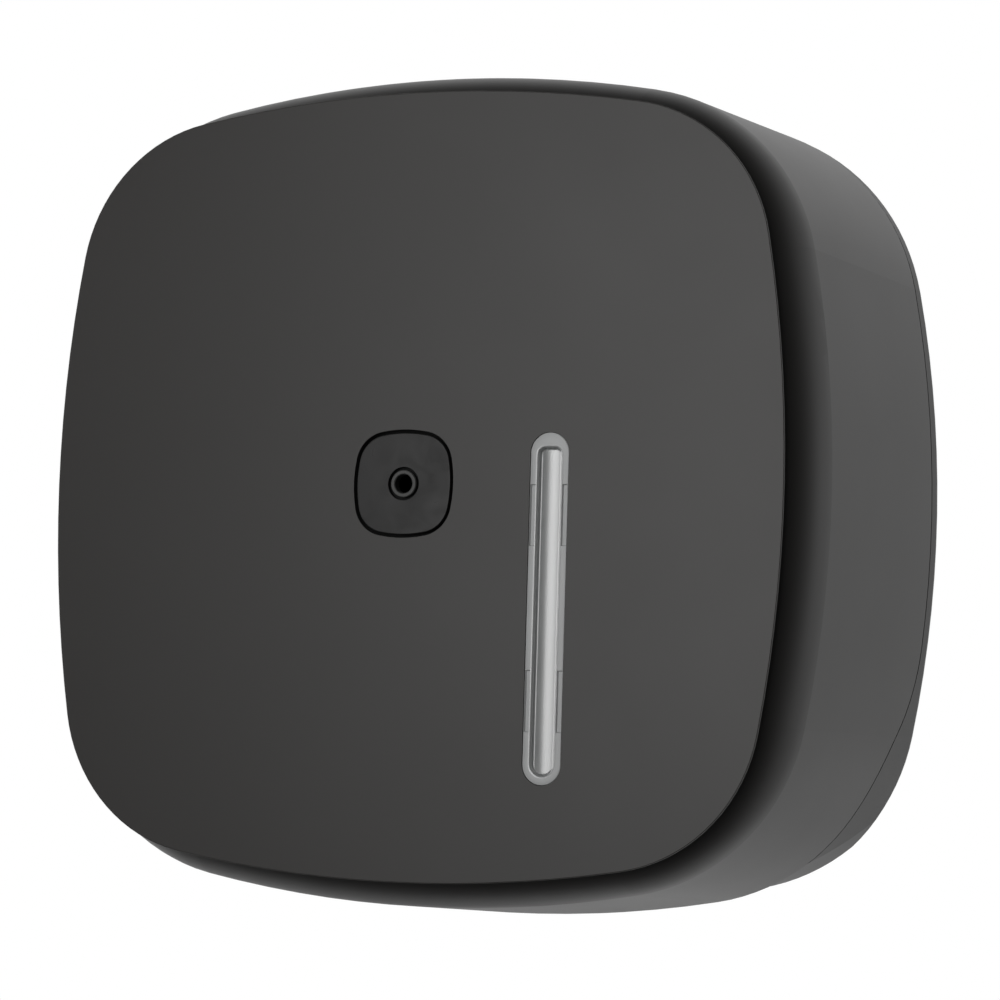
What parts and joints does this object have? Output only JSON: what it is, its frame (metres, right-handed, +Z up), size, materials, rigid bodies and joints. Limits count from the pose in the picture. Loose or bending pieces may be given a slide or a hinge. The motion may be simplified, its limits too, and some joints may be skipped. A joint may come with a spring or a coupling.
{
  "type": "toilet paper dispenser",
  "caption": "Wall-hung centre-pull toilet tissue dispenser: square-round cover hinged at the bottom, flat overhanging panel with a nozzle and level window, key lock on top.",
  "frame": {"origin": "middle of the back plate's wall face, level with the nozzle", "axes": "+X to the right seen from the front, +Y into the wall, +Z up"},
  "size_m": [0.337, 0.155, 0.3351],
  "materials": {
    "cover_plastic": "fine moulded texture, satin black",
    "panel_plastic": "fine moulded texture, satin black",
    "nozzle_plastic": "polished black",
    "ring_rubber": "soft satin black",
    "window_plastic": "clear to milky, polished",
    "inner_plastic": "plain moulded black",
    "lock_plastic": "plain moulded black",
    "lock_metal": "satin nickel plated",
    "steel": "zinc plated"
  },
  "bodies": {
    "wall_unit": {"back_plate": "inner_plastic", "roll_cradle": "inner_plastic", "cradle_screws": "steel", "hinge_pins": "steel", "lock_keeper": "inner_plastic", "keeper_screws": "steel"},
    "cover": {"cover_shell": "cover_plastic", "front_panel": "panel_plastic", "panel_screws": "steel", "window_lens": "window_plastic", "nozzle_plate": "nozzle_plastic", "nozzle_ring": "ring_rubber", "paper_funnel": "inner_plastic", "funnel_screws": "steel", "lock_housing": "lock_plastic", "lock_washer": "steel", "lock_nut": "lock_plastic"},
    "lock_turn": {"lock_barrel": "lock_metal", "lock_cam": "steel", "cam_screw": "steel"}
  },
  "joints": [
    {"name": "cover_hinge", "type": "hinge", "parent": "wall_unit", "child": "cover", "pos_m": [0, -0.024, -0.15385], "axis": [1, 0, 0], "range_deg": [0, 90]},
    {"name": "lock_key_turn", "type": "hinge", "parent": "cover", "child": "lock_turn", "pos_m": [0, -0.034, 0.1473], "axis": [0, 0, -1], "range_deg": [0, 90]}
  ]
}
